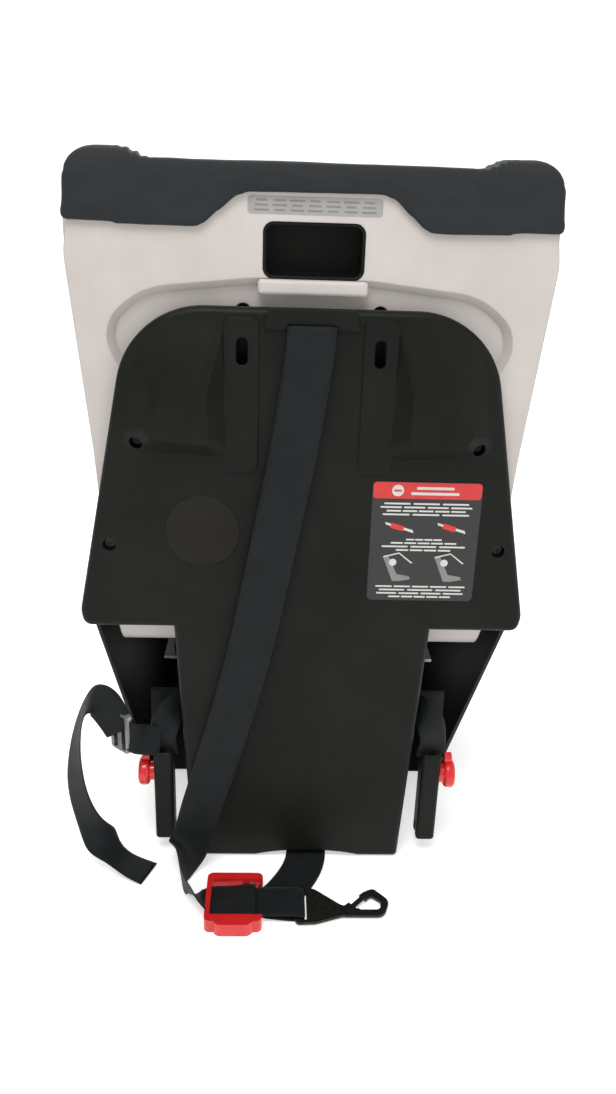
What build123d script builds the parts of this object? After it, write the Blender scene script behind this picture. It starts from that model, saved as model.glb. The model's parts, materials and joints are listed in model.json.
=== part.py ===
from build123d import *
import os
from math import atan2, cos, degrees, radians, tan

# Convertible child car seat standing upright on its base, built as separate pieces.
# Millimetres. +Z up, the child faces -Y, +X is the seat's left side as the child sits.
# The origin is on the floor plane, midway across the base.

# ---- overall sizes -------------------------------------------------------------------------
back_y = 185.0            # rear face of the light shell
front_y = -232.0          # nose of the seat pan
shell_top = 676.0         # top edge of the light shell
shell_half = 208.0        # half width of the light shell at the head wings
base_half = 212.0         # half width of the rear cover at its lower flare
cover_top = 571.0         # top edge of the black rear cover

# ---- walls and clearances ------------------------------------------------------------------
shell_wall = 5.0
cover_wall = 3.5
tray_wall = 4.0
gap = 0.3                 # air between pieces that only lie beside each other
running = 0.06            # radial clearance of a shaft in its hole
web_width = 42.0          # webbing
web_thick = 1.6

# ---- rear cover ----------------------------------------------------------------------------
cover_face = 198.0        # rear face of the flat channel
cover_corner = 78.0       # radius of the two upper corners
cover_top_half = 156.0    # half width at the top, before rounding
flank_bottom = 271.0      # lower edge of the flanks, top of the belt openings
column_top_half = 126.0
column_foot_half = 109.0
column_depth = 52.0
arch_height = 9.0
arch_half = 56.0
arch_x = -12.0
bulge_inner = 70.0        # foot of the inner wall of each raised corner
bulge_outer = 171.0
bulge_bottom = 440.0
land_inner = 45.0         # inner edge of the raised bands beside the webbing
land_low = 428.0
land_rise = 1.5
bulge_rise = 17.0
keyhole_x = 59.5
keyhole_low = 523.0
keyhole_high = 547.0
keyhole_width = 10.0
upper_screw = (152.0, 454.0)
lower_screw = (181.0, 355.0)
screw_shank = 2.4
screw_head = 4.6
disc_x = 95.0
disc_z = 370.0
disc_radius = 34.5
disc_thick = 1.2
label_x = -110.0
label_z = 363.0
label_width = 101.0
label_height = 118.0
label_thick = 0.5

# ---- light shell ---------------------------------------------------------------------------
slot_half = 43.0          # carry handle slot
slot_low = 594.0
slot_high = 640.0
liner_depth = 33.0
recess_half = 183.0       # long oval recess across the back
recess_low = 500.0
recess_high = 594.0
recess_depth = 8.0
lug_z = 630.0
lug_rise = 5.0

# ---- headrest ------------------------------------------------------------------------------
rail_x = keyhole_x
rail_y = 163.0
rail_radius = 4.0
rail_low = 488.0
rail_high = 680.0
carriage_low = 505.0
carriage_height = 70.0
neck_half = 13.0
head_back_y = 98.0
head_half = 112.0
head_low = 470.0
head_high = 655.0
head_wall = 5.0
head_depth = 118.0

# ---- cushions ------------------------------------------------------------------------------
cushion_front = 102.0     # front face of the back cushion
cushion_back = 124.0
cushion_half = 132.0
cushion_low = 262.0
cushion_high = 664.0
pan_top = 222.0           # top of the plastic pan under the seat cushion
seat_thick = 34.0
seat_half = 150.0
wing_pad_thick = 20.0

# ---- harness -------------------------------------------------------------------------------
strap_x = 42.0
strap_slot_z = 452.0
strap_width = 38.0
hip_x = 134.0             # lap webbing slots
hip_y = 84.0
crotch_y = -98.0
anchor_z = 190.0          # top of the steel plates under the pan
splitter_z = 418.0
buckle_y = -20.0
buckle_length = 62.0
buckle_width = 56.0
buckle_height = 24.0
clip_z = 372.0

# ---- base tray and recline foot ------------------------------------------------------------
tray_top_half = 203.0
tray_floor_half = 177.0
tray_heel_y = 45.0        # rear end of the tray's floor
tray_toe_y = -196.0
tray_rim = 208.0
foot_pin_radius = 4.0
foot_pin_y = -170.0
foot_pin_z = 26.0
foot_half = 62.0

# ---- lower anchors and tether --------------------------------------------------------------
latch_x = 139.0
latch_y = 180.0
latch_top = 124.0
latch_bottom = 16.0
latch_thick = 20.0
latch_deep = 24.0
jaw_pin_radius = 2.5
adjuster_x = 62.0         # middle of the tether adjuster on the floor
adjuster_y = 272.0
adjuster_long = 56.0
adjuster_wide = 66.0
adjuster_high = 14.0
hook_lift = 2.2           # underside of the hook above the floor
hook_x = -6.0             # webbing slot of the tether hook
gate_x = -52.0
gate_y = 281.0
drape_x = 102.0           # where the tether webbing meets the floor
bend_x = 32.0             # the tether webbing leans over here
bend_z = 370.0
jaw_z = 66.0
button_z = 96.0
button_radius = 10.0
knob_radius = 15.0
lever_y = front_y - 7.0
lever_z = pan_top + 27.0
tunnel_y = 136.0
tunnel_z = 152.0
tail_root_x = 180.0
tail_root_z = 150.0
tail_y = 190.0
slide_turn = -40.0        # the slide hangs turned away from the column
tail_route = ((188, 187), (208, 197), (226, 150), (232, 92), (217, 36), (190, -6))
tail_radii = (15, 40, 90, 90)
tail_end = ((214, 189), (180, 189), (140, 212), (162, 242))


def outline(points):
    """Closed face from (a, b, corner radius) points; a radius is limited by its two sides."""
    count = len(points)
    corners = [Vector(a, b) for a, b, r in points]
    arcs = []
    for i in range(count):
        corner = corners[i]
        back = corners[i - 1] - corner
        ahead = corners[(i + 1) % count] - corner
        half_turn = radians(180 - back.get_angle(ahead)) / 2
        reach = min(points[i][2] * tan(half_turn), 0.48 * back.length, 0.48 * ahead.length)
        if reach < 0.01:
            arcs.append([corner])
            continue
        bulge = reach / tan(half_turn) * (1 / cos(half_turn) - 1)
        middle = (back.normalized() + ahead.normalized()).normalized()
        arcs.append([corner + back.normalized() * reach, corner + middle * bulge,
                     corner + ahead.normalized() * reach])
    edges = []
    for i in range(count):
        if len(arcs[i]) == 3:
            edges.append(ThreePointArc(*arcs[i]))
        edges.append(Line(arcs[i][-1], arcs[(i + 1) % count][0]))
    return make_face(edges)


def across(face, low, high):
    """Extrude a (y, z) face along X from low to high."""
    return extrude(Plane.YZ.offset(low) * face, high - low)


def along(face, low, high):
    """Extrude an (x, z) face along Y from low to high."""
    plane = Plane(origin=(0, high, 0), x_dir=(1, 0, 0), z_dir=(0, -1, 0))
    return extrude(plane * face, high - low)


def block(x_low, x_high, y_low, y_high, z_low, z_high):
    """Box from its six limits."""
    size = Box(x_high - x_low, y_high - y_low, z_high - z_low)
    return Pos((x_low + x_high) / 2, (y_low + y_high) / 2, (z_low + z_high) / 2) * size


def rod(start, end, radius):
    """Round bar between two points."""
    line = Line(start, end)
    return sweep(Plane(origin=start, z_dir=line % 0) * Circle(radius), path=line)


def soft_block(x_low, x_high, y_low, y_high, z_low, z_high, radius):
    """Box with every edge rounded."""
    body = block(x_low, x_high, y_low, y_high, z_low, z_high)
    return fillet(body.edges(), radius)


def mirrored(body):
    """The same piece on the other side of the seat."""
    return mirror(body, about=Plane.YZ)


def both_sides(points):
    """Close a right-half outline (x, z, radius) with its mirror image."""
    left = [(-a, b, r) for a, b, r in reversed(points)]
    return outline(points + left)


def ribbon(points, radii, x_middle, width, thick):
    """Flat strap that runs in one (y, z) plane, centred on x_middle."""
    line = FilletPolyline(*points, radius=radii) if len(points) > 2 else Line(*points)
    band = trace(line, thick)
    return across(band, x_middle - width / 2, x_middle + width / 2)


# ---- light shell ---------------------------------------------------------------------------
def shell_side(inset):
    """Side outline of the shell, pulled in by inset on its closed sides only."""
    return outline([
        (back_y - inset, shell_top, 14 - inset),
        (back_y - inset, 300 + inset / 2, 60),
        (152 - inset, 232 + inset, 44),
        (0, 198 + inset, 90),
        (-190, 204 + inset, 40),
        (front_y + inset, 226 + inset, 16),
        (front_y + inset, 262 - inset / 2, 12 - inset / 2),
        (-150, 284, 70),
        (-40, 322, 70),
        (22, 430, 80),
        (-4, 545, 80),
        (24, shell_top, 34),
    ])


def shell_front(inset):
    """Front outline of the shell's outer walls, pulled in by inset."""
    half = shell_half - inset
    return both_sides([
        (half - 9, shell_top + 1, 22 - inset),
        (half + 1, 610, 60),
        (half - 15, 440, 160),
        (half - 24, 300, 60),
        (half - 30, 190 + inset, 34),
    ])


def bucket_space(clear=0):
    """Air inside the bucket, open towards the front and the top, clear of the walls."""
    wall = shell_wall + clear
    side = outline([
        (back_y - wall, shell_top + 60, 5),
        (back_y - wall, 302, 56),
        (150 - wall, 236 + wall, 40),
        (0, 198 + wall, 90),
        (-190, 204 + wall, 40),
        (front_y + wall, 230 + wall, 12),
        (front_y + wall, 400, 5),
        (front_y - 60, 400, 5),
        (front_y - 60, shell_top + 60, 5),
    ])
    half = shell_half - wall
    front = both_sides([
        (half - 18, shell_top + 60, 5),
        (half, 610, 60),
        (half - 16, 440, 160),
        (half - 24, 300, 60),
        (half - 30, 190 + wall, 30),
    ])
    return across(side, -300, 300) & along(front, front_y - 80, back_y)


def seat_shell():
    outer = across(shell_side(0), -300, 300) & along(shell_front(0), front_y - 5, back_y)
    recess = both_sides([
        (50, recess_high - 6, 80),
        (recess_half - 40, recess_high - 16, 60),
        (recess_half - 6, recess_high - 46, 30),
        (recess_half - 30, recess_low + 6, 40),
    ])
    recess = Pos(0, 0, recess_depth - back_y) * recess
    recess = extrude(Plane.XZ * recess, -recess_depth - 1, taper=-40)
    rib = SlotOverall(2 * recess_half + 10, recess_high - recess_low + 10)
    rib = Pos(0, (recess_low + recess_high) / 2) * rib
    body = outer - bucket_space()
    body += along(rib, back_y - recess_depth - 4, back_y - 1) & outer
    body -= recess
    sill = soft_block(-slot_half - 4, slot_half + 4, back_y - 16, back_y + 4, slot_low - 13, slot_low, 3.6)
    body += sill
    slot = Pos(0, (slot_low + slot_high) / 2) * RectangleRounded(2 * slot_half, slot_high - slot_low, 9)
    body -= along(slot, back_y - 60, back_y + 20)
    for side in (-1, 1):
        key = Pos(side * keyhole_x, (keyhole_low + keyhole_high) / 2 + 8) * SlotOverall(60, 14, rotation=90)
        body -= along(key, back_y - 30, back_y + 5)
        strap = Pos(side * strap_x, strap_slot_z) * SlotOverall(strap_width + 8, 9)
        body -= along(strap, back_y - 30, back_y + 5)
        for place in (upper_screw, lower_screw):
            hole = Pos(side * place[0], place[1]) * Circle(screw_shank + 0.2)
            body -= along(hole, back_y - 30, back_y + 5)
    body -= block(-24, 24, crotch_y - 6, crotch_y + 6, 180, 260)
    body -= block(-24, 24, front_y - 5, front_y + 8, pan_top + 12, pan_top + 20)
    for side in (-1, 1):
        body -= block(side * hip_x - 4, side * hip_x + 4, hip_y - 21, hip_y + 21, 180, 260)
    return body


def side_lugs():
    """Oval trim plugs on the outer faces of the two head wings."""
    shape = Pos(150, lug_z) * Ellipse(11, 22)
    plug = across(shape, shell_half - 9, shell_half + lug_rise)
    envelope = across(shell_side(0), -300, 300) & along(shell_front(0), front_y - 5, back_y)
    plug = plug - envelope
    return Compound(children=[plug.solid(), mirrored(plug).solid()])


def handle_liner():
    """Closed dark pocket behind the carry handle slot."""
    middle = (slot_low + slot_high) / 2
    height = slot_high - slot_low
    outer = Pos(0, middle) * RectangleRounded(2 * slot_half, height, 9)
    inner = Pos(0, middle) * RectangleRounded(2 * slot_half - 5, height - 5, 7)
    pocket = along(outer, back_y - liner_depth, back_y - 1)
    pocket -= along(inner, back_y - liner_depth + 2.5, back_y)
    return pocket


# ---- black rear cover ----------------------------------------------------------------------
def panel_outline(inset):
    """Outline of the upper panel alone, down to the flanks' lower edge."""
    return both_sides([
        (cover_top_half - inset, cover_top - inset, cover_corner - inset),
        (base_half - inset, 286, 24),
        (base_half - 3 - inset, flank_bottom + inset, 10),
    ])


def column_outline(inset):
    return both_sides([
        (column_top_half - inset, flank_bottom + 40, 2),
        (column_foot_half - inset, inset, 4),
    ])


def corner_bulge():
    """Raised corner: steep inner and lower walls, a flat quarter, a face that falls away outwards."""
    foot = outline([
        (bulge_inner, bulge_bottom, 10),
        (bulge_outer, bulge_bottom + 4, 18),
        (bulge_outer - 25, cover_top - 8, cover_corner - 12),
        (bulge_inner + 6, cover_top - 8, 10),
    ])
    flat = outline([
        (bulge_inner + 18, bulge_bottom + 15, 8),
        (bulge_inner + 78, bulge_bottom + 21, 8),
        (bulge_inner + 58, bulge_bottom + 54, 30),
        (bulge_inner + 19, bulge_bottom + 72, 8),
    ])
    low = Plane(origin=(0, cover_face - 1, 0), x_dir=(1, 0, 0), z_dir=(0, -1, 0))
    high = Plane(origin=(0, cover_face + bulge_rise, 0), x_dir=(1, 0, 0), z_dir=(0, -1, 0))
    return loft([low * foot, high * flat], ruled=True)


def rear_cover():
    panel = along(panel_outline(0), back_y + gap, cover_face)
    panel = fillet(panel.faces().sort_by(Axis.Y)[-1].edges(), 6)
    hollow = along(panel_outline(cover_wall), back_y - 1, cover_face - cover_wall)
    body = panel - hollow
    column = along(column_outline(0), cover_face - column_depth, cover_face)
    tall = [e for e in column.edges() if e.length > 150 and e.center().Y > cover_face - 1]
    column = fillet(tall, 6)
    column -= along(column_outline(cover_wall), cover_face - column_depth - 1, cover_face - cover_wall)
    column -= block(-300, 300, 100, back_y + gap, flank_bottom, 400)
    column -= across(shell_side(-gap), -300, 300)
    body += column
    body -= hollow & along(column_outline(cover_wall), back_y, cover_face - cover_wall)
    bulge = corner_bulge()
    body += bulge
    body += mirrored(bulge)
    arch = Pos(arch_x, 0) * Ellipse(arch_half, arch_height)
    body -= along(arch, 100, 300)
    for side in (-1, 1):
        land = Pos(side * (land_inner + 15), (land_low + cover_top - 8) / 2)
        land = land * RectangleRounded(30, cover_top - 8 - land_low, 6)
        body += along(land, cover_face - 1, cover_face + land_rise)
        key = Pos(side * keyhole_x, (keyhole_low + keyhole_high) / 2)
        body -= along(key * SlotOverall(keyhole_high - keyhole_low, keyhole_width, rotation=90), 180, 230)
        for x, z in (upper_screw, lower_screw):
            well = Pos(side * x, z) * Circle(screw_head + 1.4)
            post = Pos(side * x, z) * Circle(screw_head + 3.4)
            body += along(post, back_y + gap, cover_face - 1)
            body -= along(well, back_y + gap + 4, 240)
            body -= along(Pos(side * x, z) * Circle(screw_shank + 0.2), 180, 240)
    exit_slot = Pos(0, cover_top - 14) * Rectangle(web_width + 4, 7)
    body -= along(exit_slot, 180, 230)
    body -= along(Pos(disc_x, disc_z) * Circle(disc_radius + 0.2), cover_face - disc_thick, 230)
    return body


def cover_screws():
    """Four screws that hold the rear cover to the shell."""
    screws = []
    for side in (-1, 1):
        for x, z in (upper_screw, lower_screw):
            shank = along(Pos(side * x, z) * Circle(screw_shank), back_y - 12, back_y + gap + 4)
            head = along(Pos(side * x, z) * Circle(screw_head), back_y + gap + 4, back_y + gap + 7)
            drive = along(Pos(side * x, z) * Rectangle(5.6, 1.2), back_y + gap + 5.6, back_y + gap + 8)
            drive += along(Pos(side * x, z) * Rectangle(1.2, 5.6), back_y + gap + 5.6, back_y + gap + 8)
            screws.append((shank + head - drive).solid())
    return Compound(children=screws)


def tether_bezel():
    """Trim that the tether webbing leaves through at the top of the cover."""
    plate = Pos(0, cover_top - 8) * Trapezoid(82, 17, 78)
    body = along(plate, cover_face, cover_face + 3)
    body += along(Pos(0, cover_top - 14) * Rectangle(web_width + 3.4, 6.4), cover_face - 10, cover_face)
    body -= along(Pos(0, cover_top - 14) * Rectangle(web_width + 1, 3.6), cover_face - 20, cover_face + 20)
    return body


def rear_disc():
    body = along(Pos(disc_x, disc_z) * Circle(disc_radius), cover_face - disc_thick, cover_face)
    return body


def info_label():
    """Plain printed panel stuck on the cover."""
    face = Pos(label_x, label_z) * RectangleRounded(label_width, label_height, 5)
    return along(face, cover_face, cover_face + label_thick)


# ---- base tray -----------------------------------------------------------------------------
def tray_side(inset, heel):
    return outline([
        (180 + heel, flank_bottom - gap, 4),
        (tray_heel_y + heel, inset, 10),
        (tray_toe_y + inset, inset, 14),
        (front_y + 26 + inset, 60, 30),
        (front_y + 12 + inset, tray_rim, 6),
        (60, tray_rim + 14, 30),
        (128, flank_bottom - gap, 20),
    ])


def tray_front(inset):
    return both_sides([
        (tray_top_half - inset, flank_bottom + 1, 2),
        (tray_floor_half - inset, inset, 16 - inset),
    ])


def base_tray():
    """Lower tub: side skirts, floor and front wall, open at the top and the rear."""
    outer = across(tray_side(0, 0), -300, 300) & along(tray_front(0), front_y, back_y + 5)
    space = outline([
        (300, 300, 2),
        (300, tray_wall, 2),
        (tray_toe_y + tray_wall, tray_wall, 10),
        (front_y + 26 + tray_wall, 60, 30),
        (front_y + 12 + tray_wall, tray_rim, 8),
        (front_y + 12 + tray_wall, 300, 2),
    ])
    body = outer - (across(space, -300, 300) & along(tray_front(tray_wall), front_y, 400))
    body -= block(-strap_width / 2 - 3, strap_width / 2 + 3, front_y, tray_toe_y, anchor_z - 2, 300)
    tongue = block(-92, 92, 20, cover_face - cover_wall - gap, arch_height + 1, arch_height + 5)
    root = block(-92, 92, 10, tray_heel_y - 10, 1, arch_height + 5)
    body += tongue
    body += root
    for side in (-1, 1):
        post = block(side * 84 - 6, side * 84 + 6, -40, 30, 3, 197)
        body += post
        ear_x = side * (foot_half + 9)
        ear = block(ear_x - 4, ear_x + 4, foot_pin_y - 12, foot_pin_y + 12, 2, foot_pin_z + 12)
        hole = rod((ear_x - 6, foot_pin_y, foot_pin_z), (ear_x + 6, foot_pin_y, foot_pin_z), foot_pin_radius)
        body += ear
        body -= hole
    body -= block(-foot_half - 3, foot_half + 3, front_y, foot_pin_y + 112, -1, 70)
    return body


def recline_foot():
    """Fold-out foot under the front, on a cross pin; folded back into the base at rest."""
    side = outline([
        (foot_pin_y - 10, foot_pin_z + 10, 8),
        (foot_pin_y - 10, foot_pin_z - 12, 8),
        (foot_pin_y + 60, 2, 6),
        (foot_pin_y + 100, 2, 6),
        (foot_pin_y + 100, 14, 6),
        (foot_pin_y + 30, foot_pin_z + 4, 12),
    ])
    body = across(side, -foot_half, foot_half)
    window = Pos(0, foot_pin_y + 55, 20) * Box(2 * foot_half - 40, 40, 80)
    body -= window
    body -= rod((-foot_half - 1, foot_pin_y, foot_pin_z), (foot_half + 1, foot_pin_y, foot_pin_z),
                foot_pin_radius + running)
    return body


def foot_pin():
    reach = foot_half + 13
    return rod((-reach, foot_pin_y, foot_pin_z), (reach, foot_pin_y, foot_pin_z), foot_pin_radius)


# ---- headrest ------------------------------------------------------------------------------
def headrest_rails():
    """Two steel rods that guide the headrest carriage, with their end plates."""
    rods = []
    for side in (-1, 1):
        bar = rod((side * rail_x, rail_y, rail_low), (side * rail_x, rail_y, rail_high), rail_radius)
        bar += block(side * rail_x - 10, side * rail_x + 10, rail_y - 8, back_y - shell_wall - recess_depth,
                     rail_low - 3, rail_low)
        rods.append(bar.solid())
    return Compound(children=rods)


def headrest_carriage():
    """Slide block on the rails, with the neck that carries the headrest."""
    high = carriage_low + carriage_height
    body = block(-rail_x - 11, rail_x + 11, 143, 151, carriage_low, high)
    for side in (-1, 1):
        body += block(side * rail_x - 8, side * rail_x + 8, 150, 172, carriage_low, high)
    for side in (-1, 1):
        body -= rod((side * rail_x, rail_y, carriage_low - 5), (side * rail_x, rail_y, high + 5),
                    rail_radius + running)
    body += block(-neck_half, neck_half, head_back_y, 144, carriage_low + 10, high - 14)
    return body


def headrest_shell():
    """Three-sided plastic shell: back plate and two side wings."""
    plan = [
        (-head_half, head_back_y - head_depth, 2),
        (-head_half, head_back_y, 26),
        (head_half, head_back_y, 26),
        (head_half, head_back_y - head_depth, 2),
        (head_half - head_wall, head_back_y - head_depth, 2),
        (head_half - head_wall, head_back_y - head_wall, 21),
        (-head_half + head_wall, head_back_y - head_wall, 21),
        (-head_half + head_wall, head_back_y - head_depth, 2),
    ]
    wall = extrude(Pos(0, 0, head_low) * outline(plan), head_high - head_low)
    profile = outline([
        (head_back_y + 2, head_low, 4),
        (head_back_y + 2, head_high, 4),
        (head_back_y - head_depth + 34, head_high, 40),
        (head_back_y - head_depth, head_high - 90, 60),
        (head_back_y - head_depth + 24, head_low, 30),
    ])
    body = wall & across(profile, -200, 200)
    grip_slot = block(-34, 34, head_back_y - 12, head_back_y + 1, head_high - 40, head_high - 14)
    return body - grip_slot


def headrest_foam():
    """Energy-absorbing liner inside the headrest wings."""
    sides = []
    inner = head_half - head_wall - gap
    for side in (-1, 1):
        slab = outline([
            (head_back_y - 30, head_low + 14, 10),
            (head_back_y - 30, head_high - 18, 16),
            (head_back_y - head_depth + 44, head_high - 18, 34),
            (head_back_y - head_depth + 10, head_high - 92, 40),
            (head_back_y - head_depth + 34, head_low + 14, 24),
        ])
        low = inner - 14 if side > 0 else -inner
        sides.append(across(slab, low, low + 14).solid())
    return Compound(children=sides)


def headrest_pad():
    """Padded head cushion between the two wing liners."""
    half = head_half - head_wall - 14 - 3 * gap
    back = head_back_y - head_wall - 8 * gap
    body = soft_block(-half, half, back - 26, back, head_low + 16, head_high - 44, 11)
    return body


def headrest_grip():
    """Squeeze grip in the top of the headrest, lifted to free the carriage."""
    body = soft_block(-30, 30, head_back_y - 14, head_back_y - 2, head_high - 34, head_high - 24, 4)
    return body


# ---- foam and cushions ---------------------------------------------------------------------
def back_foam():
    """Energy-absorbing slab between the shell's back and the cushion."""
    body = block(-146, 146, cushion_back + gap, back_y - shell_wall - recess_depth - 5, 330, 655)
    body = fillet(body.edges().filter_by(Axis.Y), 24)
    body -= block(-rail_x - 16, rail_x + 16, 142, back_y, rail_low - 10, 700)
    body -= block(-neck_half - 4, neck_half + 4, 100, back_y, carriage_low - 12, 700)
    for side in (-1, 1):
        body -= block(side * strap_x - 24, side * strap_x + 24, 100, back_y,
                      strap_slot_z - 7, strap_slot_z + 7)
    return body


def wing_foam():
    """Energy-absorbing slabs inside the two head wings."""
    side = outline([
        (150, 455, 20),
        (150, 640, 20),
        (52, 640, 30),
        (24, 545, 40),
        (40, 455, 20),
    ])
    slab = across(side, 168, 186)
    return Compound(children=[slab.solid(), mirrored(slab).solid()])


def back_cushion():
    body = soft_block(-cushion_half, cushion_half, cushion_front, cushion_back, cushion_low, cushion_high, 10)
    body -= block(-neck_half - 3, neck_half + 3, 90, 140, carriage_low - 10, cushion_high + 20)
    for side in (-1, 1):
        body -= block(side * strap_x - 22, side * strap_x + 22, 90, 140, strap_slot_z - 5, strap_slot_z + 5)
    return body


def seat_cushion():
    side = outline([
        (cushion_back, pan_top + 12, 10),
        (60, pan_top - 4, 30),
        (-190, pan_top - 2, 20),
        (front_y + 8, pan_top + 18, 8),
        (front_y + 10, pan_top + seat_thick + 4, 14),
        (-190, pan_top + seat_thick + 2, 30),
        (60, pan_top + seat_thick - 6, 30),
        (cushion_back, pan_top + seat_thick + 4, 10),
    ])
    body = across(side, -seat_half, seat_half)
    body -= block(-23, 23, crotch_y - 5, crotch_y + 5, 180, 280)
    for hand in (-1, 1):
        body -= block(hand * hip_x - 5, hand * hip_x + 5, hip_y - 21, hip_y + 21, 190, 300)
    return body & bucket_space(gap)


def hip_bolster():
    """Padded side of the seat, inside the left arm wall."""
    side = outline([
        (96, 266, 20),
        (96, 322, 24),
        (0, 322, 30),
        (-150, 274, 30),
        (-200, 262, 4),
    ])
    return across(side, seat_half + gap, seat_half + 18)


def wing_pad():
    """Padded inner face of the left torso and head wing."""
    side = outline([
        (cushion_front - 4, 345, 16),
        (cushion_front - 4, 655, 16),
        (48, 655, 30),
        (16, 548, 50),
        (40, 430, 50),
        (10, 345, 20),
    ])
    body = across(side, 146, 146 + wing_pad_thick)
    return body


def top_cover():
    """Fabric cover stretched over the shell's top edge and the tops of both wings."""
    outer_front = both_sides([
        (142, shell_top + 10, 12),
        (158, shell_top + 18, 12),
        (shell_half - 5, shell_top + 18, 30),
        (shell_half + 1, 636, 4),
        (96, 632, 24),
        (62, 661, 24),
    ])
    outer_side = outline([
        (back_y + 5, shell_top + 19, 22),
        (back_y + 5, 600, 4),
        (20, 600, 4),
        (18, shell_top + 19, 30),
    ])
    body = along(outer_front, 10, back_y + 5) & across(outer_side, -300, 300)
    envelope = across(shell_side(-gap), -300, 300) & along(shell_front(-gap), front_y - 5, back_y + gap)
    lugs = block(-300, 300, 126, 174, lug_z - 26, lug_z + 26)
    cavity = block(-shell_half + 28, shell_half - 28, -100, 140, 500, shell_top + 30)
    channel = block(-rail_x - 16, rail_x + 16, 100, back_y - shell_wall, 500, rail_high + 1)
    body = body - envelope - cavity - channel - lugs
    under = across(outline([
        (back_y - shell_wall - 1, shell_top - 1, 4),
        (back_y - shell_wall - 1, 560, 4),
        (0, 560, 4),
        (0, shell_top - 1, 4),
    ]), -300, 300)
    body -= under
    return max(body.solids(), key=lambda piece: piece.volume)


# ---- harness -------------------------------------------------------------------------------
def harness_strap():
    """Left webbing: splitter plate, shoulder slot, down the cushion, tongue, back to the hip."""
    front = cushion_front - 1.2
    level = pan_top + seat_thick + 8
    inside = back_y + 4.6
    shoulder = ribbon([(inside, splitter_z), (inside, strap_slot_z), (front, strap_slot_z), (front, level),
                       (buckle_y + 44, level)], [3.4, 4, 26], strap_x, strap_width, web_thick)
    lap = outline([
        (hip_x + web_thick / 2, hip_y - 18, 1),
        (hip_x + web_thick / 2, hip_y + 18, 1),
        (strap_x + 10, 60, 20),
        (strap_x - 19, buckle_y + 60, 1),
        (3, buckle_y + 46, 1),
        (3, buckle_y + 36, 1),
        (40, buckle_y + 36, 20),
    ])
    body = shoulder + extrude(Pos(0, 0, level - web_thick / 2) * lap, web_thick)
    body += block(hip_x - web_thick / 2, hip_x + web_thick / 2, hip_y - 18, hip_y + 18, anchor_z,
                  level + web_thick / 2)
    return body


def harness_anchors():
    """Steel plates under the pan that hold the ends of the webbing."""
    plates = []
    for x in (-hip_x, hip_x):
        plates.append(block(x - 12, x + 12, hip_y - 20, hip_y + 20, anchor_z - 3, anchor_z).solid())
    plates.append(block(-24, 24, crotch_y - 10, crotch_y + 10, anchor_z - 3, anchor_z).solid())
    return Compound(children=plates)


def splitter_plate():
    """Steel plate behind the shell that joins both shoulder webs to the adjuster web."""
    plate = Pos(0, splitter_z - 15) * RectangleRounded(2 * strap_x + strap_width + 4, 30, 6)
    body = along(plate, back_y + 3, back_y + 6.4)
    body -= along(Pos(0, splitter_z - 20) * Rectangle(strap_width + 4, 5), back_y, back_y + 9)
    return body


def adjuster_web():
    """Webbing from the splitter plate down behind the shell and under the pan to the adjuster."""
    inside = back_y + 4.6
    route = [(inside, splitter_z - 30), (inside, 292), (160, 222), (0, anchor_z - 9),
             (-196, anchor_z - 6), (front_y - 7, 214), (front_y - 7, pan_top + 8)]
    return ribbon(route, [40, 50, 60, 14, 8], 0, strap_width, web_thick)


def shoulder_pad():
    body = soft_block(strap_x - 24, strap_x + 24, cushion_front - 14, cushion_front - 4, clip_z + 22,
                      strap_slot_z - 12, 3.5)
    body -= block(strap_x - 20, strap_x + 20, cushion_front - 5, cushion_front + 5, 200, 600)
    return body


def chest_clip_socket():
    body = soft_block(-62, 2, cushion_front - 14, cushion_front - 5, clip_z - 18, clip_z + 18, 3)
    body -= block(-10, 5, cushion_front - 11.4, cushion_front - 7.6, clip_z - 9, clip_z + 9)
    body -= along(Pos(-22, clip_z) * Circle(8), cushion_front - 16, cushion_front - 10)
    return body


def chest_clip_tongue():
    body = soft_block(2 + gap, 62, cushion_front - 14, cushion_front - 5, clip_z - 18, clip_z + 18, 3)
    body += block(-9, 8, cushion_front - 11, cushion_front - 8, clip_z - 8, clip_z + 8)
    return body


def chest_clip_button():
    return along(Pos(-22, clip_z) * Circle(8 - gap), cushion_front - 15, cushion_front - 13)


def crotch_strap():
    top = pan_top + seat_thick + 4
    return ribbon([(crotch_y, anchor_z), (crotch_y, top + 4), (buckle_y - buckle_length / 2 + 2, top + 4)],
                  [12], 0, strap_width, web_thick)


def buckle_box(inset):
    low = pan_top + seat_thick + 3
    return (-buckle_width / 2 + inset, buckle_width / 2 - inset, buckle_y - buckle_length / 2 + inset,
            buckle_y + buckle_length / 2 - inset, low + inset, low + buckle_height - inset)


def buckle_housing():
    body = soft_block(*buckle_box(0), 6)
    top = pan_top + seat_thick + 3 + buckle_height
    body -= block(-15, 15, buckle_y - 12, buckle_y + 14, top - 9, top + 2)
    low = pan_top + seat_thick + 3
    body -= block(-24, 24, buckle_y + 16, buckle_y + buckle_length, low + 7.7, low + 12.3)
    body -= block(-20, 20, buckle_y - buckle_length, buckle_y - 28.9, low + 3.4, low + 8)
    return body


def buckle_button():
    top = pan_top + seat_thick + 3 + buckle_height
    return soft_block(-15 + gap, 15 - gap, buckle_y - 12 + gap, buckle_y + 14 - gap, top - 4, top + 2, 1.5)


def buckle_tongues():
    """Two steel tongues, side by side in the buckle's mouth."""
    low = pan_top + seat_thick + 3
    pieces = []
    for side in (-1, 1):
        blade = block(side * 12 - 11, side * 12 + 11, buckle_y + 17, buckle_y + 44, low + 8.5, low + 11.5)
        pieces.append(blade.solid())
    return Compound(children=pieces)


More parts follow.
